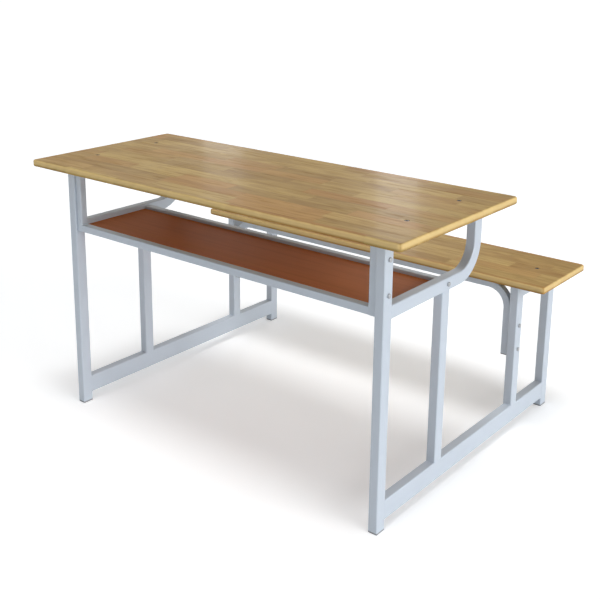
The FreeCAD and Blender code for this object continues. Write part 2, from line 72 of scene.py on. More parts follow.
# Camera of the photograph: angles in degrees, lens and axis in pixels of a square image
IMAGE_SIDE = 600
LENS_PIXELS = 982.2
AXIS_PIXEL = (290, 195)
CAMERA_PLACE = (1.6098, -2.0640, 1.3042)
CAMERA_AZIMUTH = 39.236
CAMERA_TILT = 14.502
CAMERA_ROLL = 0.418
SENSOR = 36.0                     # millimetres across

# Soft studio light: share of a white surface's brightness that each source gives
SKY_LEVEL = 0.28
OVERHEAD_LEVEL = 0.40
OVERHEAD_FROM = (0.10, -0.12, 1.0)
OVERHEAD_SPREAD = 20              # degrees
KEY_LEVEL = 0.74
KEY_FROM = (0.97, -0.05, 0.20)
KEY_SPREAD = 44                   # degrees

# Two tall windows behind the desk: the place on the top that mirrors each, and its brightness
WINDOWS = (((-0.17, -0.17), 2.2), ((0.37, -0.14), 6.0))
WINDOW_AWAY = 3.0
WINDOW_WIDE = 0.22
WINDOW_TALL = 0.60

# Floor: its colour, and the glow that lifts it to white where no shadow falls
FLOOR_COLOUR = (0.885, 0.900, 0.912, 1)
FLOOR_GLOW = 0.315
FLOOR_SIDE = 80.0

# Colours, as linear red, green, blue
WHITE = (1, 1, 1, 1)
TOP_PALE = (0.495, 0.336, 0.107, 1)
TOP_DEEP = (0.285, 0.165, 0.043, 1)
SEAT_PALE = (0.535, 0.361, 0.119, 1)
SEAT_DEEP = (0.325, 0.188, 0.050, 1)
WOOD_WARM = (0.40, 0.180, 0.047, 1)
WOOD_STREAK = (0.19, 0.095, 0.028, 1)
WOOD_PORE = (0.11, 0.06, 0.022, 1)
WOOD_GLUE = (0.15, 0.08, 0.03, 1)
# Painted highlight on the upper edges of the wood, where the rounding catches the light
WOOD_EDGE_HIGHLIGHT = (0.80, 0.60, 0.28, 1)
PAINT = (0.575, 0.640, 0.720, 1)
PAINT_DULL = (0.525, 0.585, 0.660, 1)
LAMINATE = (0.63, 0.220, 0.074, 1)
LAMINATE_DEEP = (0.50, 0.165, 0.055, 1)
PLASTIC = (0.30, 0.31, 0.325, 1)
PLASTIC_DULL = (0.25, 0.26, 0.275, 1)
ZINC = (0.52, 0.53, 0.54, 1)
ZINC_DULL = (0.38, 0.39, 0.40, 1)
# Very dark steel of the sunk bolt heads: painted shade of their recesses in the wood
SUNK_HEAD_SHADE = (0.085, 0.075, 0.065, 1)
SUNK_HEAD_SHADE_DULL = (0.045, 0.040, 0.035, 1)

# Finger-jointed wood
STAVE_WIDTH = 0.046
BLOCK_LENGTH = 0.225
BLOCK_RANGE = (0.70, 1.40)        # shortest and longest blocks, as shares of that length
FINGER_WIDTH = 0.0022
FINGER_DEPTH = 0.007
GLUE_RANGE = (0.0001, 0.0007)     # from the middle of a glue line to clear wood
EDGE_HIGHLIGHT_WIDTH = 0.005                # painted highlight band along an upper edge
ROW_SHIFT = 7.0                   # most that a row is slid along, in blocks
GRAIN_JUMP = (23.0, 23.0, 23.0)   # most that the grain jumps from block to block
TOP_SEED = 3.0
SEAT_SEED = 11.0

# Grain along, across and through the wood, and other patterns: repeats in a metre
FIGURE_SCALE = (6.0, 26.0, 26.0)
STREAK_SCALE = (9.0, 120.0, 120.0)
PORE_SCALE = (28.0, 620.0, 620.0)
PRINT_SCALE = (3.0, 70.0, 70.0)
VARNISH_SCALE = 2.4
WANDER_SCALE = 40.0

# Detail and distortion of a pattern
FIGURE_DETAIL = (3.0, 0.8)
STREAK_DETAIL = (4.0, 0.3)
PORE_DETAIL = (1.0, 0.0)
PRINT_DETAIL = (5.0, 0.5)
VARNISH_DETAIL = (3.0, 0.6)
WANDER_DETAIL = (2.0, 0.0)
PATCH_DETAIL = (4.0, 0.4)
GRIT_DETAIL = (2.0, 0.0)

# Where a pattern starts to show and where it shows fully
FIGURE_RANGE = (0.30, 0.70)
WARM_RANGE = (0.55, 1.00)
STREAK_RANGE = (0.48, 0.74)
PORE_RANGE = (0.60, 0.72)
PRINT_RANGE = (0.35, 0.75)
VARNISH_RANGE = (0.46, 0.72)
EDGE_HIGHLIGHT_RANGE = (-0.75, 0.25)        # inwards from the edge, in band widths
EDGE_HIGHLIGHT_RISE = (-0.75, 0.05)         # upwards, with the board's underside at -1 and its top at 1

# How strongly each pattern shows
BLOCK_SHARE = 0.58
FIGURE_SHARE = 0.45
WARM_SHARE = 0.50
STREAK_SHARE = 0.36
PORE_SHARE = 0.30
GLUE_SHARE = 0.35
EDGE_HIGHLIGHT_SHARE = 0.80
WANDER_SHARE = 0.50
PORE_DEPTH = -0.60
PRINT_SHARE = 0.45
PATCH_SHARE = 0.30

# Gloss: roughness from the smooth spots to the dull ones, and what else a shader is told
WOOD_ROUGHNESS = (0.36, 0.50)
WOOD_SHINE = 0.03
VARNISH_WEIGHT = (0.04, 0.14)     # thin to thick
VARNISH_ROUGHNESS = 0.13
LAMINATE_ROUGHNESS = (0.32, 0.42)
LAMINATE_SHINE = 0.01
PAINT_ROUGHNESS = (0.38, 0.52)
PAINT_METAL = 0.12
PLASTIC_ROUGHNESS = (0.50, 0.64)
STEEL_ROUGHNESS = (0.34, 0.52)

# Patches and grit of a coat: repeats in a metre
PAINT_MARKS = (9.0, 760.0)
LAMINATE_MARKS = (5.0, 900.0)
PLASTIC_MARKS = (40.0, 1500.0)
STEEL_MARKS = (160.0, 2600.0)

# Relief of a surface: strength and depth
WOOD_RELIEF = (0.10, 0.0004)
LAMINATE_RELIEF = (0.06, 0.0002)
PAINT_RELIEF = (0.18, 0.0003)
PLASTIC_RELIEF = (0.20, 0.0002)
STEEL_RELIEF = (0.10, 0.0001)

# Rounding of hard edges, by material slot
ROUNDING = {
    "wood": 0.0014,
    "frame_paint": 0.0008,
    "shelf_laminate": 0.0006,
    "cap_plastic": 0.0005,
    "bolt_zinc": 0.0004,
}
ROUNDING_STEPS = 3
ROUND_PROFILE = 0.5
LEAST_EDGE = 0.004                # shorter edges stay sharp
HARD_ANGLE = math.radians(20)
SMOOTH_ANGLE = math.radians(34)
FLAT_ANGLE = math.radians(0.4)
MERGE_GAP = 1e-6

# Fasteners
HEX_ACROSS = 0.0115               # over the corners of a hexagon head or nut
HEX_CROWN = 0.415                 # radius of its flat top, as a share of that size
HEX_SLOPE = 0.5                   # fall of the corners past the flat top
HEAD_TALL = 0.004
NUT_TALL = 0.005
BOLT_RADIUS = 0.003
THREAD_PITCH = 0.001
THREAD_DEEP = 0.0003
THREAD_LONG = 0.010
THREAD_PAST_NUT = 0.002
PLUG_LONG = 0.012                 # tapped plug in each end of the rear shelf rail
SUNK_RADIUS = 0.006
SUNK_TALL = 0.003
SUNK_EDGE = 0.0005
SOCKET_ACROSS = 0.0046
SOCKET_DEEP = 0.002
SCREW_RADIUS = 0.002
SCREW_TIP = 0.4                   # share of that radius at the point
SCREW_HEAD_RADIUS = 0.004
SCREW_HEAD_TALL = 0.002
PAN_PROFILE = ((1.0, 0.0), (0.98, 0.55), (0.84, 0.88), (0.60, 1.0))  # shares of radius and height
CROSS_REACH = 0.0021
CROSS_WAIST = 0.34                # share of the reach between two arms
CROSS_POWER = 5                   # a higher power gives narrower arms
CROSS_FLOOR = 0.5                 # share of the reach at the bottom
CROSS_DEEP = 0.0011
ROUND_STEPS = 24
SPIN_SEEDS = {
    "shelf_post_bolts": 0,
    "shelf_post_nuts": 10,
    "stretcher_bolts": 1,
    "stretcher_nuts": 11,
    "shelf_rail_bolts": 2,
    "desk_top_bolts": 20,
    "desk_top_nuts": 30,
    "seat_bolts": 21,
    "seat_nuts": 31,
    "shelf_screws": 40,
}

# Weld beads
BEAD_RADIUS = 0.0017
BEAD_SIDES = 8
BEAD_PITCH = 0.0019
BEAD_STEP = 0.0005
FULL_RIPPLE = 0.16                # share of the radius
DRESSED_RIPPLE = 0.03
DRESSED_SUNK = 0.0015             # centre of a bead that is ground flush, below the face
DRESSED_OUT = 0.0008              # and past the end of its tube
TUBE_CORNER = 0.002


# Node trees

def put(tree, socket, feed):
    """Feed a socket from another node's output or with a plain value."""
    if isinstance(feed, bpy.types.NodeSocket):
        tree.links.new(feed, socket)
    else:
        socket.default_value = feed


def add_node(tree, kind, feeds=(), **settings):
    """A new node with its settings made and its sockets fed."""
    made = tree.nodes.new(kind)
    for name, setting in settings.items():
        setattr(made, name, setting)
    for socket, feed in dict(feeds).items():
        put(tree, made.inputs[socket], feed)
    return made


def calc(tree, operation, *feeds):
    """One step of arithmetic on numbers."""
    return add_node(tree, "ShaderNodeMath", enumerate(feeds), operation=operation).outputs[0]


def vector_calc(tree, operation, *feeds):
    """One step of arithmetic on vectors."""
    return add_node(tree, "ShaderNodeVectorMath", enumerate(feeds), operation=operation).outputs[0]


def separate(tree, vector):
    """A vector's three parts, by the names X, Y and Z."""
    return add_node(tree, "ShaderNodeSeparateXYZ", {0: vector}).outputs


def fade(tree, value, low, high):
    """0 below the low value, 1 above the high one, smooth between."""
    feeds = {"Value": value, "From Min": low, "From Max": high}
    return add_node(tree, "ShaderNodeMapRange", feeds, interpolation_type="SMOOTHSTEP").outputs[0]


def spread(tree, value, low, high):
    """A value from 0 to 1 spread over another range."""
    feeds = {"Value": value, "To Min": low, "To Max": high}
    return add_node(tree, "ShaderNodeMapRange", feeds).outputs[0]


def mix_colour(tree, share, first, second):
    """The first colour at a share of 0, the second at 1. They are a mix node's sockets 6 and 7."""
    feeds = {0: share, 6: first, 7: second}
    return add_node(tree, "ShaderNodeMix", feeds, data_type="RGBA").outputs[2]


def noise(tree, place, scale, detail, distortion):
    """A random value that changes smoothly from place to place."""
    feeds = {"Vector": place, "Scale": scale, "Detail": detail, "Distortion": distortion}
    return add_node(tree, "ShaderNodeTexNoise", feeds).outputs[0]


def shader_group(name, inputs, outputs):
    """A new group, with the sockets that it is given and those that it puts out."""
    tree = bpy.data.node_groups.new(name, "ShaderNodeTree")
    for label, kind in inputs.items():
        tree.interface.new_socket(label, in_out="INPUT", socket_type=kind)
    for label in outputs:
        tree.interface.new_socket(label, in_out="OUTPUT", socket_type=FLOAT)
    given = tree.nodes.new("NodeGroupInput").outputs
    result = tree.nodes.new("NodeGroupOutput").inputs
    return tree, given, result


def use_group(tree, group, feeds):
    """The outputs of a group that is placed in a tree and fed."""
    return add_node(tree, "ShaderNodeGroup", feeds, node_tree=group).outputs


def finger_jointed_staves():
    """Rows of short blocks glued end to end, each with its own shade and its own grain."""
    sockets = {"Place": VECTOR, "Stave": FLOAT, "Block": FLOAT, "Seed": FLOAT}
    masks = ("Shade", "Warmth", "Figure", "Streak", "Pores", "Glue")
    tree, given, result = shader_group("finger_jointed_staves", sockets, masks)
    place = separate(tree, given["Place"])

    # The row across the board, and the block along the row
    across = calc(tree, "DIVIDE", place["Y"], given["Stave"])
    row = calc(tree, "FLOOR", across)
    row_chance = add_node(tree, "ShaderNodeTexWhiteNoise",
                          {"W": calc(tree, "ADD", row, given["Seed"])}, noise_dimensions="1D")
    row_tones = add_node(tree, "ShaderNodeSeparateColor", {0: row_chance.outputs["Color"]}).outputs
    length = calc(tree, "MULTIPLY", given["Block"], spread(tree, row_tones["Green"], *BLOCK_RANGE))
    finger = calc(tree, "PINGPONG", place["Y"], FINGER_WIDTH)
    finger = calc(tree, "MULTIPLY", finger, FINGER_DEPTH / FINGER_WIDTH)
    along = calc(tree, "DIVIDE", calc(tree, "ADD", place["X"], finger), length)
    along = calc(tree, "MULTIPLY_ADD", row_chance.outputs["Value"], ROW_SHIFT, along)
    block = calc(tree, "FLOOR", along)

    # Each block's own chance, which also moves its grain
    own = add_node(tree, "ShaderNodeCombineXYZ", {0: row, 1: block, 2: given["Seed"]}).outputs[0]
    chance = add_node(tree, "ShaderNodeTexWhiteNoise", {"Vector": own}, noise_dimensions="3D").outputs
    tones = add_node(tree, "ShaderNodeSeparateColor", {0: chance["Color"]}).outputs
    jump = vector_calc(tree, "MULTIPLY", chance["Color"], GRAIN_JUMP)

    def grain(scale, detail, distortion):
        """Noise stretched along the wood and moved by the block's own jump."""
        stretched = vector_calc(tree, "MULTIPLY", given["Place"], scale)
        return noise(tree, vector_calc(tree, "ADD", stretched, jump), 1.0, detail, distortion)

    end_gap = calc(tree, "MULTIPLY", calc(tree, "PINGPONG", along, 0.5), length)
    side_gap = calc(tree, "MULTIPLY", calc(tree, "PINGPONG", across, 0.5), given["Stave"])
    clear_wood = fade(tree, calc(tree, "MINIMUM", end_gap, side_gap), *GLUE_RANGE)
    put(tree, result["Shade"], chance["Value"])
    put(tree, result["Warmth"], fade(tree, tones["Green"], *WARM_RANGE))
    put(tree, result["Figure"], grain(FIGURE_SCALE, *FIGURE_DETAIL))
    put(tree, result["Streak"], fade(tree, grain(STREAK_SCALE, *STREAK_DETAIL), *STREAK_RANGE))
    put(tree, result["Pores"], fade(tree, grain(PORE_SCALE, *PORE_DETAIL), *PORE_RANGE))
    put(tree, result["Glue"], calc(tree, "SUBTRACT", 1.0, clear_wood))
    return tree


def painted_edge_highlight():
    """Painted highlight: 1 along the upper edges of a level board where the rounding catches the light,
    0 further in and lower, with a wandering border.
    """
    sockets = {"Place": VECTOR, "Middle": VECTOR, "Half": VECTOR, "Width": FLOAT}
    tree, given, result = shader_group("painted_edge_highlight", sockets, ("Edge",))
    from_middle = vector_calc(tree, "SUBTRACT", given["Place"], given["Middle"])
    reach = vector_calc(tree, "ABSOLUTE", from_middle)
    inside = separate(tree, vector_calc(tree, "SUBTRACT", given["Half"], reach))
    depth = calc(tree, "DIVIDE", calc(tree, "MINIMUM", inside["X"], inside["Y"]), given["Width"])
    wander = noise(tree, given["Place"], WANDER_SCALE, *WANDER_DETAIL)
    wander = calc(tree, "MULTIPLY", wander, WANDER_SHARE)
    band = fade(tree, calc(tree, "SUBTRACT", wander, depth), *EDGE_HIGHLIGHT_RANGE)
    height = separate(tree, vector_calc(tree, "DIVIDE", from_middle, given["Half"]))["Z"]
    put(tree, result["Edge"], calc(tree, "MULTIPLY", band, fade(tree, height, *EDGE_HIGHLIGHT_RISE)))
    return tree


def mottle():
    """Slow patches and fine grit in a coat or a moulding."""
    sockets = {"Place": VECTOR, "Patches": FLOAT, "Grit": FLOAT}
    tree, given, result = shader_group("mottle", sockets, ("Patches", "Grit"))
    put(tree, result["Patches"], noise(tree, given["Place"], given["Patches"], *PATCH_DETAIL))
    put(tree, result["Grit"], noise(tree, given["Place"], given["Grit"], *GRIT_DETAIL))
    return tree


# Finishes

def new_finish(name, **constants):
    """A material, its tree, its shader and its place on the piece."""
    material = bpy.data.materials.new(name)
    material.use_nodes = True
    tree = material.node_tree
    shader = tree.nodes["Principled BSDF"]
    for socket, value in constants.items():
        shader.inputs[socket.replace("_", " ")].default_value = value
    place = tree.nodes.new("ShaderNodeTexCoord").outputs["Object"]
    return material, tree, shader, place


def raise_surface(tree, shader, height, strength, distance):
    """Relief from a height that changes over the surface."""
    feeds = {"Height": height, "Strength": strength, "Distance": distance}
    bump = add_node(tree, "ShaderNodeBump", feeds)
    put(tree, shader.inputs["Normal"], bump.outputs[0])


def use_mottle(tree, coat, place, marks):
    """The patches and grit of a coat at the scale of its marks."""
    return use_group(tree, coat, {"Place": place, "Patches": marks[0], "Grit": marks[1]})


def varnished_wood(node, staves, band, pale, deep, seed):
    """Pale finger-jointed wood under an uneven clear varnish, with a painted highlight along its upper
    edges.
    """
    material, tree, shader, place = new_finish(f"{node}_wood", Specular_IOR_Level=WOOD_SHINE,
                                               Coat_Roughness=VARNISH_ROUGHNESS)
    wood = use_group(tree, staves, {"Place": place, "Stave": STAVE_WIDTH,
                                    "Block": BLOCK_LENGTH, "Seed": seed})
    lowest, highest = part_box(node)
    edge = use_group(tree, band, {"Place": place, "Middle": (lowest + highest) / 2,
                                  "Half": (highest - lowest) / 2, "Width": EDGE_HIGHLIGHT_WIDTH})
    shade = calc(tree, "MULTIPLY", fade(tree, wood["Figure"], *FIGURE_RANGE), FIGURE_SHARE)
    shade = calc(tree, "MULTIPLY_ADD", wood["Shade"], BLOCK_SHARE, shade)
    colour = mix_colour(tree, shade, pale, deep)
    tints = ((wood["Warmth"], WARM_SHARE, WOOD_WARM),
             (wood["Streak"], STREAK_SHARE, WOOD_STREAK),
             (wood["Pores"], PORE_SHARE, WOOD_PORE),
             (wood["Glue"], GLUE_SHARE, WOOD_GLUE),
             # painted highlight along the upper edges
             (edge["Edge"], EDGE_HIGHLIGHT_SHARE, WOOD_EDGE_HIGHLIGHT))
    for mask, share, tint in tints:
        colour = mix_colour(tree, calc(tree, "MULTIPLY", mask, share), colour, tint)
    put(tree, shader.inputs["Base Color"], colour)
    put(tree, shader.inputs["Roughness"], spread(tree, wood["Streak"], *WOOD_ROUGHNESS))
    varnish = fade(tree, noise(tree, place, VARNISH_SCALE, *VARNISH_DETAIL), *VARNISH_RANGE)
    put(tree, shader.inputs["Coat Weight"], spread(tree, varnish, *VARNISH_WEIGHT))
    relief = calc(tree, "MULTIPLY_ADD", wood["Pores"], PORE_DEPTH, wood["Figure"])
    raise_surface(tree, shader, relief, *WOOD_RELIEF)
    return material


def brown_laminate(coat):
    """Red-brown melamine with a faint printed grain along the shelf."""
    material, tree, shader, place = new_finish("brown_laminate", Specular_IOR_Level=LAMINATE_SHINE)
    spots = use_mottle(tree, coat, place, LAMINATE_MARKS)
    printed = vector_calc(tree, "MULTIPLY", place, PRINT_SCALE)
    lines = fade(tree, noise(tree, printed, 1.0, *PRINT_DETAIL), *PRINT_RANGE)
    share = calc(tree, "MULTIPLY", spots["Patches"], PATCH_SHARE)
    share = calc(tree, "MULTIPLY_ADD", lines, PRINT_SHARE, share)
    put(tree, shader.inputs["Base Color"], mix_colour(tree, share, LAMINATE, LAMINATE_DEEP))
    put(tree, shader.inputs["Roughness"], spread(tree, spots["Patches"], *LAMINATE_ROUGHNESS))
    raise_surface(tree, shader, spots["Grit"], *LAMINATE_RELIEF)
    return material


def plain_coat(name, coat, dull, bright, marks, roughness, relief, **constants):
    """One colour all over, with slow patches in its tone and gloss and a fine grit."""
    material, tree, shader, place = new_finish(name, **constants)
    spots = use_mottle(tree, coat, place, marks)
    put(tree, shader.inputs["Base Color"], mix_colour(tree, spots["Patches"], dull, bright))
    put(tree, shader.inputs["Roughness"], spread(tree, spots["Patches"], *roughness))
    raise_surface(tree, shader, spots["Grit"], *relief)
    return material


def silver_paint(coat):
    """Silver-grey baked paint with a fine orange peel."""
    return plain_coat("silver_paint", coat, PAINT_DULL, PAINT, PAINT_MARKS,
                      PAINT_ROUGHNESS, PAINT_RELIEF, Metallic=PAINT_METAL)


def grey_plastic(coat):
    """Moulded grey plastic of the feet and end caps."""
    return plain_coat("grey_plastic", coat, PLASTIC_DULL, PLASTIC, PLASTIC_MARKS,
                      PLASTIC_ROUGHNESS, PLASTIC_RELIEF)


def zinc_plate(coat):
    """Dull zinc on hexagon bolts, nuts, plugs and screws."""
    return plain_coat("zinc_plate", coat, ZINC_DULL, ZINC, STEEL_MARKS,
                      STEEL_ROUGHNESS, STEEL_RELIEF, Metallic=1.0)


def painted_shade_steel(coat):
    """Very dark steel on the bolts sunk into the wood: painted shade of the recesses they sit in."""
    return plain_coat("painted_shade_steel", coat, SUNK_HEAD_SHADE_DULL, SUNK_HEAD_SHADE, STEEL_MARKS,
                      STEEL_ROUGHNESS, STEEL_RELIEF, Metallic=1.0)


# Pieces

def place_piece(name, mesh, material, nodes=()):
    """A finished piece on the part's one body, standing for the nodes named."""
    mesh.materials.clear()
    mesh.materials.append(material)
    piece = bpy.data.objects.new(name, mesh)
    scene.collection.objects.link(piece)
    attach(piece, "root")
    if nodes:
        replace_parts(piece, *nodes)
    return piece


def merged_copy(node):
    """The node's own form as one closed mesh without its loose triangles."""
    source = frame["nodes"][node].data
    faces = [tuple(face.vertices) for face in source.polygons]
    mesh = bpy.data.meshes.new(node)
    mesh.from_pydata([vertex.co for vertex in source.vertices], [], faces)
    form = bmesh.new()
    form.from_mesh(mesh)
    bpy.data.meshes.remove(mesh)
    bmesh.ops.remove_doubles(form, verts=form.verts, dist=MERGE_GAP)
    bmesh.ops.dissolve_limit(form, angle_limit=FLAT_ANGLE, verts=form.verts, edges=form.edges)
    return form


def shaded_mesh(name, form):
    """The form as a mesh, smooth except along its sharp edges."""
    for face in form.faces:
        face.smooth = True
    for edge in form.edges:
        edge.smooth = edge.calc_face_angle(math.pi) < SMOOTH_ANGLE
    mesh = bpy.data.meshes.new(name)
    form.to_mesh(mesh)
    form.free()
    return mesh


def rounded_piece(node, material):
    """The node with its long hard edges rounded as a drawn tube or a worked board has them."""
    form = merged_copy(node)
    slot = slot_of[node]
    hard = [edge for edge in form.edges
            if edge.calc_face_angle(0) > HARD_ANGLE and edge.calc_length() > LEAST_EDGE]
    bmesh.ops.bevel(form, geom=hard, offset=ROUNDING[slot], offset_type="OFFSET",
                    segments=ROUNDING_STEPS, profile=ROUND_PROFILE, affect="EDGES", clamp_overlap=True)
    name = f"{node}_finished"
    piece = place_piece(name, shaded_mesh(name, form), material, [node])
    even = piece.modifiers.new("even_shading", "WEIGHTED_NORMAL")
    even.keep_sharp = True


# What repeats

def geometry_tree(name, sizes):
    """A tree with named sizes, the sockets that it is given and the one that it puts out."""
    tree = bpy.data.node_groups.new(name, "GeometryNodeTree")
    sockets = {"Geometry": "NodeSocketGeometry", **sizes, "Finish": "NodeSocketMaterial"}
    for label, kind in sockets.items():
        tree.interface.new_socket(label, in_out="INPUT", socket_type=kind)
    tree.interface.new_socket("Geometry", in_out="OUTPUT", socket_type="NodeSocketGeometry")
    given = tree.nodes.new("NodeGroupInput").outputs
    result = tree.nodes.new("NodeGroupOutput").inputs[0]
    return tree, given, result


def finish_tree(tree, given, geometry, result):
    """Real faces with the finish set, as the last steps of every tree."""
    real = add_node(tree, "GeometryNodeRealizeInstances", {0: geometry}).outputs[0]
    feeds = {"Geometry": real, "Material": given["Finish"]}
    put(tree, result, add_node(tree, "GeometryNodeSetMaterial", feeds).outputs[0])


def grow(seed_mesh, tree, values):
    """The plain mesh that a tree makes from a seed mesh."""
    seed = bpy.data.objects.new("seed", seed_mesh)
    scene.collection.objects.link(seed)
    modifier = seed.modifiers.new("growth", "NODES")
    modifier.node_group = tree
    for item in tree.interface.items_tree:
        if item.in_out == "INPUT" and item.name in values:
            modifier[item.identifier] = values[item.name]
    grown = bpy.data.meshes.new_from_object(seed.evaluated_get(bpy.context.evaluated_depsgraph_get()))
    seed.modifiers.remove(modifier)
    bpy.data.objects.remove(seed)
    return grown


def fastener_tree():
    """One fastener at each point, turned to its aim and spun by chance about its own axis."""
    sizes = {"Fastener": "NodeSocketObject", "Seed": "NodeSocketInt"}
    tree, given, result = geometry_tree("fasteners_at_points", sizes)
    aim = add_node(tree, "GeometryNodeInputNamedAttribute", {"Name": "aim"},
                   data_type="FLOAT_VECTOR").outputs["Attribute"]
    turned = add_node(tree, "FunctionNodeAlignRotationToVector", {"Vector": aim}, axis="Z").outputs[0]
    lowest, highest = 2, 3            # sockets of a random number's range
    angle = add_node(tree, "FunctionNodeRandomValue",
                     {lowest: 0.0, highest: math.tau, "Seed": given["Seed"]},
                     data_type="FLOAT").outputs[1]
    spin = add_node(tree, "FunctionNodeAxisAngleToRotation",
                    {"Axis": (0, 0, 1), "Angle": angle}).outputs[0]
    turned = add_node(tree, "FunctionNodeRotateRotation", {0: turned, 1: spin},
                      rotation_space="LOCAL").outputs[0]
    form = add_node(tree, "GeometryNodeObjectInfo", {"Object": given["Fastener"]}).outputs["Geometry"]
    feeds = {"Points": given["Geometry"], "Instance": form, "Rotation": turned}
    fasteners = add_node(tree, "GeometryNodeInstanceOnPoints", feeds).outputs[0]
    finish_tree(tree, given, fasteners, result)
    return tree


def bead_tree():
    """A rippled bead of weld along each edge."""
    sizes = {"Radius": FLOAT, "Ripple": FLOAT, "Pitch": FLOAT, "Step": FLOAT}
    tree, given, result = geometry_tree("beads_along_lines", sizes)
    lines = add_node(tree, "GeometryNodeMeshToCurve", {0: given["Geometry"]}).outputs[0]
    fine = add_node(tree, "GeometryNodeResampleCurve", {"Curve": lines, "Length": given["Step"]},
                    mode="LENGTH").outputs[0]
    run = add_node(tree, "GeometryNodeSplineParameter").outputs["Length"]
    turns = calc(tree, "MULTIPLY", calc(tree, "DIVIDE", run, given["Pitch"]), math.tau)
    swell = calc(tree, "MULTIPLY_ADD", calc(tree, "SINE", turns), given["Ripple"], 1.0)
    ring = add_node(tree, "GeometryNodeCurvePrimitiveCircle",
                    {"Resolution": BEAD_SIDES, "Radius": given["Radius"]}).outputs[0]
    feeds = {"Curve": fine, "Profile Curve": ring, "Scale": swell, "Fill Caps": True}
    beads = add_node(tree, "GeometryNodeCurveToMesh", feeds).outputs[0]
    smooth = add_node(tree, "GeometryNodeSetShadeSmooth", {0: beads}).outputs[0]
    finish_tree(tree, given, smooth, result)
    return tree


# Forms of the fasteners

def disc(radius):
    """Radius of a circle, the same at every angle."""
    return lambda angle: radius


def hexagon(across):
    """Radius of a hexagon at an angle, from its size over the corners."""
    flat = across / 2 * math.cos(math.pi / 6)
    return lambda angle: flat / math.cos(angle % (math.pi / 3) - math.pi / 6)


def cross(reach):
    """Radius of a cross-shaped recess at an angle."""
    def radius(angle):
        """The reach along an arm, less between two arms."""
        arm = abs(math.cos(2 * angle)) ** CROSS_POWER
        return reach * (CROSS_WAIST + (1 - CROSS_WAIST) * arm)
    return radius


def level(height, outline):
    """A flat ring of an outline at a height."""
    return lambda angle: (outline(angle), height)


def chamfered(height, outline, crown):
    """A ring that falls from the height where the outline passes the crown circle."""
    return lambda angle: (outline(angle), height - HEX_SLOPE * max(0.0, outline(angle) - crown))


def ring_stack(name, rings, closed=False):
    """A form through rings, each a radius and a height at every angle."""
    form = bmesh.new()
    loops = []
    for ring in rings:
        loop = []
        for step in range(ROUND_STEPS):
            angle = math.tau * step / ROUND_STEPS
            radius, height = ring(angle)
            loop.append(form.verts.new((radius * math.cos(angle), radius * math.sin(angle), height)))
        loops.append(loop)
    pairs = list(zip(loops, loops[1:]))
    if closed:
        pairs.append((loops[-1], loops[0]))
    else:
        form.faces.new(loops[0])
        form.faces.new(loops[-1])
    for lower, upper in pairs:
        for step in range(ROUND_STEPS):
            after = (step + 1) % ROUND_STEPS
            form.faces.new((lower[step], lower[after], upper[after], upper[step]))
    bmesh.ops.recalc_face_normals(form, faces=form.faces)
    return shaded_mesh(name, form)


def shank_rings(length):
    """A bolt's shank down from zero with a cut thread at its end, lowest ring first."""
    rings = [level(-length, disc(BOLT_RADIUS - 2 * THREAD_DEEP))]
    for turn in range(int(THREAD_LONG / THREAD_PITCH)):
        crest = -length + (turn + 0.5) * THREAD_PITCH
        rings.append(level(crest, disc(BOLT_RADIUS)))
        rings.append(level(crest + THREAD_PITCH / 2, disc(BOLT_RADIUS - THREAD_DEEP)))
    rings.append(level(-length + THREAD_LONG + THREAD_PITCH, disc(BOLT_RADIUS)))
    return rings


def hex_rings(tall):
    """A hexagon from zero up, with the corners of its top turned off."""
    outline = hexagon(HEX_ACROSS)
    crown = HEX_ACROSS * HEX_CROWN
    return [
        level(0.0, outline),
        chamfered(tall, outline, crown),
        level(tall, disc(crown)),
    ]


def hex_bolt(length):
    """A hexagon head up from zero and a threaded shank down."""
    rings = shank_rings(length)
    rings.append(level(0.0, disc(BOLT_RADIUS)))
    return ring_stack("hex_bolt", rings + hex_rings(HEAD_TALL))


def hex_nut():
    """A hexagon nut up from zero, with an open bore."""
    bore = disc(BOLT_RADIUS)
    rings = [level(0.0, bore)] + hex_rings(NUT_TALL) + [level(NUT_TALL, bore)]
    return ring_stack("hex_nut", rings, closed=True)


def sunk_bolt(length):
    """A flat head with a hexagon socket, its top at zero."""
    socket = hexagon(SOCKET_ACROSS)
    head = [
        level(-SUNK_TALL, disc(BOLT_RADIUS)),
        level(-SUNK_TALL, disc(SUNK_RADIUS)),
        level(-SUNK_EDGE, disc(SUNK_RADIUS)),
        level(0.0, disc(SUNK_RADIUS - SUNK_EDGE)),
        level(0.0, socket),
        level(-SOCKET_DEEP, socket),
    ]
    return ring_stack("sunk_bolt", shank_rings(length) + head)


def pan_screw(length):
    """A pan head with a cross recess, its seat at zero and its shank down."""
    shank = [
        level(-length, disc(SCREW_RADIUS * SCREW_TIP)),
        level(-length + SCREW_RADIUS, disc(SCREW_RADIUS)),
        level(0.0, disc(SCREW_RADIUS)),
    ]
    head = [level(SCREW_HEAD_TALL * tall, disc(SCREW_HEAD_RADIUS * wide)) for wide, tall in PAN_PROFILE]
    recess = [
        level(SCREW_HEAD_TALL, cross(CROSS_REACH)),
        level(SCREW_HEAD_TALL - CROSS_DEEP, cross(CROSS_REACH * CROSS_FLOOR)),
    ]
    return ring_stack("pan_screw", shank + head + recess)


# Places of the fasteners

def middle(node, axis):
    """The middle of the node's box along an axis."""
    lowest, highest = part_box(node)
    return (lowest[axis] + highest[axis]) / 2


def inset(node, axis, edge):
    """The two places along an axis that lie a set distance inside the node's box."""
    lowest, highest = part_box(node)
    return lowest[axis] + edge, highest[axis] - edge


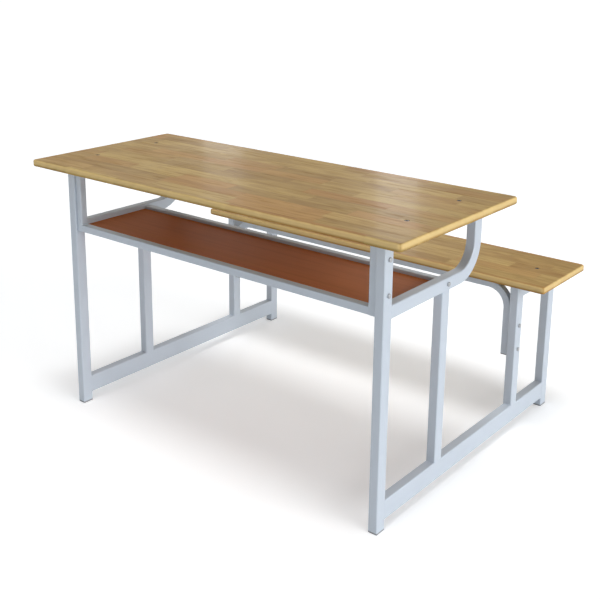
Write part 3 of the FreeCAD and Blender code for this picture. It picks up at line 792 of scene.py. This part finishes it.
def fit_fasteners(node, tree, form, places, aims, material):
    """The node's fasteners as one piece, a copy of the form at each place."""
    points = bpy.data.meshes.new("places")
    points.from_pydata(places, [], [])
    aim = points.attributes.new("aim", "FLOAT_VECTOR", "POINT")
    for index, direction in enumerate(aims):
        aim.data[index].vector = direction
    model = bpy.data.objects.new("fastener", form)
    scene.collection.objects.link(model)
    mesh = grow(points, tree, {"Fastener": model, "Seed": SPIN_SEEDS[node], "Finish": material})
    bpy.data.objects.remove(model)
    place_piece(f"{node}_finished", mesh, material, [node])


def fit_on_sides(node, tree, form, seat, heights, outward, material):
    """The node's fasteners on both side frames, aimed outwards with 1 and inwards with -1."""
    spots = [(side, height) for side in (-1, 1) for height in heights]
    places = [(side * seat, middle(node, Y), height) for side, height in spots]
    aims = [(side * outward, 0, 0) for side, height in spots]
    fit_fasteners(node, tree, form, places, aims, material)


def side_bolts(tree, zinc):
    """Bolts through the side frames, heads outwards, into nuts in slim tubes or a rail's plugs."""
    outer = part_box("front_leg_right")[HIGH].x
    nut_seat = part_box("shelf_post_nuts")[HIGH].x
    rail_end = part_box("shelf_rear_rail")[HIGH].x
    nutted_length = outer - nut_seat + NUT_TALL + THREAD_PAST_NUT
    for row in ("shelf_post", "stretcher"):
        bolts = f"{row}_bolts"
        heights = inset(bolts, Z, HEX_ACROSS / 2)
        fit_on_sides(bolts, tree, hex_bolt(nutted_length), outer, heights, 1, zinc)
        fit_on_sides(f"{row}_nuts", tree, hex_nut(), nut_seat, heights, -1, zinc)
    bolts = "shelf_rail_bolts"
    plugged = hex_bolt(outer - rail_end + PLUG_LONG)
    fit_on_sides(bolts, tree, plugged, outer, [middle(bolts, Z)], 1, zinc)


def wood_bolts(tree, zinc, recess_shade):
    """Sunk bolts down through the top and the seat, with nuts under the rails."""
    rows = (("desk_top", inset("desk_top_bolts", Y, SUNK_RADIUS)),
            ("seat", [middle("seat_bolts", Y)]))
    for row, depths in rows:
        bolts = f"{row}_bolts"
        nuts = f"{row}_nuts"
        lowest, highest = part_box(bolts)
        spots = [(x, y) for x in inset(bolts, X, SUNK_RADIUS) for y in depths]
        heads = [(x, y, highest.z) for x, y in spots]
        seats = [(x, y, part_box(nuts)[HIGH].z) for x, y in spots]
        up = [(0, 0, 1)] * len(spots)
        down = [(0, 0, -1)] * len(spots)
        # the heads' very dark steel is painted shade of their recesses
        fit_fasteners(bolts, tree, sunk_bolt(highest.z - lowest.z), heads, up, recess_shade)
        fit_fasteners(nuts, tree, hex_nut(), seats, down, zinc)


def shelf_screws(tree, zinc):
    """Pan-head screws up through the lugs into the shelf board."""
    node = "shelf_screws"
    lowest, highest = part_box(node)
    seat = lowest.z + SCREW_HEAD_TALL
    left, right = inset(node, X, SCREW_HEAD_RADIUS)
    places = [(x, y, seat) for x in (left, middle(node, X), right)
              for y in inset(node, Y, SCREW_HEAD_RADIUS)]
    down = [(0, 0, -1)] * len(places)
    fit_fasteners(node, tree, pan_screw(highest.z - seat), places, down, zinc)


# Welds

def bead_lines(box, runs, ends, along, sides, out=0.0, sunk=0.0):
    """Lines of weld where the end of a tube meets another, one for each end and side named.
    The tube runs along one axis and the bead lies along another."""
    third = X + Y + Z - runs - along
    lines = []
    for end in ends:
        for side in sides:
            line = []
            for tip in BOTH:
                point = [0.0, 0.0, 0.0]
                point[runs] = box[end][runs] - out * INWARD[end]
                point[third] = box[side][third] + sunk * INWARD[side]
                point[along] = box[tip][along] + TUBE_CORNER * INWARD[tip]
                line.append(tuple(point))
            lines.append(line)
    return lines


def frame_joints(side):
    """Tubes of a side frame whose ends are welded on: box, way it runs, ends, sides with a corner."""
    leg_low, leg_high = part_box(f"front_leg_{side}")
    arm_low, arm_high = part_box(f"shelf_arm_{side}")
    tube_deep = leg_high.y - leg_low.y
    level_arm = arm_low, Vector((arm_high.x, arm_high.y, arm_low.z + tube_deep))
    return [
        (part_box(f"base_rail_{side}"), Y, BOTH, BOTH),
        (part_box(f"desk_rear_post_{side}"), Z, BOTH, BOTH),
        (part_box(f"bench_front_post_{side}"), Z, (LOW,), BOTH),
        (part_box(f"desk_rail_{side}"), Y, BOTH, (LOW,)),
        (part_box(f"seat_rail_{side}"), Y, BOTH, (LOW,)),
        (level_arm, Y, (LOW,), BOTH),
    ]


def weld_lines():
    """Lines of the full beads in inner corners, and of those dressed flush on level faces."""
    shelf_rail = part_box("shelf_front_rail")
    full = bead_lines(shelf_rail, X, BOTH, Y, (HIGH,))
    dressed = bead_lines(shelf_rail, X, BOTH, Z, (LOW,), DRESSED_OUT, DRESSED_SUNK)
    for box, runs, ends, corners in frame_joints("left") + frame_joints("right"):
        full += bead_lines(box, runs, ends, X, corners)
        dressed += bead_lines(box, runs, ends, Y + Z - runs, BOTH, DRESSED_OUT, DRESSED_SUNK)
    return full, dressed


def weld_beads(paint):
    """All the frame's welds as two painted pieces, full beads and dressed ones."""
    tree = bead_tree()
    full, dressed = weld_lines()
    for name, lines, ripple in (("weld_beads", full, FULL_RIPPLE),
                                ("dressed_welds", dressed, DRESSED_RIPPLE)):
        seeds = bpy.data.meshes.new("weld_lines")
        points = [point for line in lines for point in line]
        seeds.from_pydata(points, [(2 * n, 2 * n + 1) for n in range(len(lines))], [])
        values = {"Radius": BEAD_RADIUS, "Ripple": ripple, "Pitch": BEAD_PITCH, "Step": BEAD_STEP,
                  "Finish": paint}
        place_piece(name, grow(seeds, tree, values), paint)


# The whole desk

def dress_desk():
    """Every finish, and every piece in its finish."""
    staves = finger_jointed_staves()
    band = painted_edge_highlight()
    coat = mottle()
    finishes = {
        "frame_paint": silver_paint(coat),
        "shelf_laminate": brown_laminate(coat),
        "cap_plastic": grey_plastic(coat),
        "bolt_zinc": zinc_plate(coat),
    }
    woods = {
        "desk_top": varnished_wood("desk_top", staves, band, TOP_PALE, TOP_DEEP, TOP_SEED),
        "bench_seat": varnished_wood("bench_seat", staves, band, SEAT_PALE, SEAT_DEEP, SEAT_SEED),
    }
    tree = fastener_tree()
    side_bolts(tree, finishes["bolt_zinc"])
    wood_bolts(tree, finishes["bolt_zinc"], painted_shade_steel(coat))
    shelf_screws(tree, finishes["bolt_zinc"])
    fitted = {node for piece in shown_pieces() for node in piece.get("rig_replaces", [])}
    for node in sorted(set(frame["nodes"]) - fitted):
        rounded_piece(node, woods[node] if node in woods else finishes[slot_of[node]])
    weld_beads(finishes["frame_paint"])


# Studio

def seen_share(tree):
    """1 for what the camera, a mirror or clear glass sees, 0 for light on the object."""
    path = tree.nodes.new("ShaderNodeLightPath").outputs
    share = calc(tree, "MAXIMUM", path["Is Camera Ray"], path["Is Glossy Ray"])
    return calc(tree, "MAXIMUM", share, path["Is Transmission Ray"])


def white_world():
    """White to the eye and in mirrors, and a low even light on the object."""
    world = bpy.data.worlds.new("white_studio")
    world.use_nodes = True
    tree = world.node_tree
    back = tree.nodes["Background"]
    back.inputs["Color"].default_value = WHITE
    put(tree, back.inputs["Strength"], spread(tree, seen_share(tree), SKY_LEVEL, 1.0))
    scene.world = world


def pale_floor():
    """A floor that keeps the shadow and reaches white where none falls."""
    half = FLOOR_SIDE / 2
    mesh = bpy.data.meshes.new("floor")
    corners = [(-half, -half, 0), (half, -half, 0), (half, half, 0), (-half, half, 0)]
    mesh.from_pydata(corners, [], [(0, 1, 2, 3)])
    material = bpy.data.materials.new("pale_floor")
    material.use_nodes = True
    tree = material.node_tree
    tree.nodes.remove(tree.nodes["Principled BSDF"])
    matt = add_node(tree, "ShaderNodeBsdfDiffuse", {"Color": FLOOR_COLOUR}).outputs[0]
    glow_strength = calc(tree, "MULTIPLY", seen_share(tree), FLOOR_GLOW)
    glow = add_node(tree, "ShaderNodeEmission", {"Strength": glow_strength}).outputs[0]
    both = add_node(tree, "ShaderNodeAddShader", {0: matt, 1: glow}).outputs[0]
    put(tree, tree.nodes["Material Output"].inputs["Surface"], both)
    mesh.materials.append(material)
    floor = bpy.data.objects.new("floor", mesh)
    scene.collection.objects.link(floor)


def sun(name, source, brightness, spread_angle):
    """A soft lamp far off; its brightness is what it adds to a white surface that faces it."""
    data = bpy.data.lights.new(name, "SUN")
    data.energy = brightness * math.pi
    data.angle = math.radians(spread_angle)
    lamp = bpy.data.objects.new(name, data)
    lamp.rotation_euler = Vector(source).to_track_quat("Z", "Y").to_euler()
    scene.collection.objects.link(lamp)


def window(glare, brightness):
    """A tall soft lamp behind the desk, where the varnish mirrors it to the camera."""
    spot = Vector((*glare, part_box("desk_top")[HIGH].z))
    mirrored = Vector(CAMERA_PLACE)
    mirrored.z = 2 * spot.z - mirrored.z
    away = (spot - mirrored).normalized()
    data = bpy.data.lights.new("window", "AREA")
    data.shape = "RECTANGLE"
    data.size = WINDOW_WIDE
    data.size_y = WINDOW_TALL
    data.energy = brightness * math.pi * WINDOW_WIDE * WINDOW_TALL
    lamp = bpy.data.objects.new("window", data)
    lamp.location = spot + WINDOW_AWAY * away
    lamp.rotation_euler = away.to_track_quat("Z", "Y").to_euler()
    scene.collection.objects.link(lamp)


def photo_camera():
    """A camera at the photograph's place, with its lens and the shift of its crop."""
    azimuth = math.radians(CAMERA_AZIMUTH)
    tilt = math.radians(CAMERA_TILT)
    roll = math.radians(CAMERA_ROLL)
    ahead = Vector((-math.sin(azimuth) * math.cos(tilt), math.cos(azimuth) * math.cos(tilt),
                    -math.sin(tilt)))
    level_right = Vector((math.cos(azimuth), math.sin(azimuth), 0))
    level_up = level_right.cross(ahead)
    right = math.cos(roll) * level_right + math.sin(roll) * level_up
    up = math.cos(roll) * level_up - math.sin(roll) * level_right
    data = bpy.data.cameras.new("photo_camera")
    data.sensor_width = SENSOR
    data.lens = LENS_PIXELS * SENSOR / IMAGE_SIDE
    data.shift_x = 0.5 - AXIS_PIXEL[0] / IMAGE_SIDE
    data.shift_y = AXIS_PIXEL[1] / IMAGE_SIDE - 0.5
    camera = bpy.data.objects.new("photo_camera", data)
    turn = Matrix((right, up, -ahead)).transposed().to_4x4()
    camera.matrix_world = Matrix.Translation(CAMERA_PLACE) @ turn
    scene.collection.objects.link(camera)
    scene.camera = camera


dress_desk()
white_world()
pale_floor()
sun("overhead", OVERHEAD_FROM, OVERHEAD_LEVEL, OVERHEAD_SPREAD)
sun("key", KEY_FROM, KEY_LEVEL, KEY_SPREAD)
for glare, brightness in WINDOWS:
    window(glare, brightness)
photo_camera()
scene.view_settings.view_transform = "Standard"
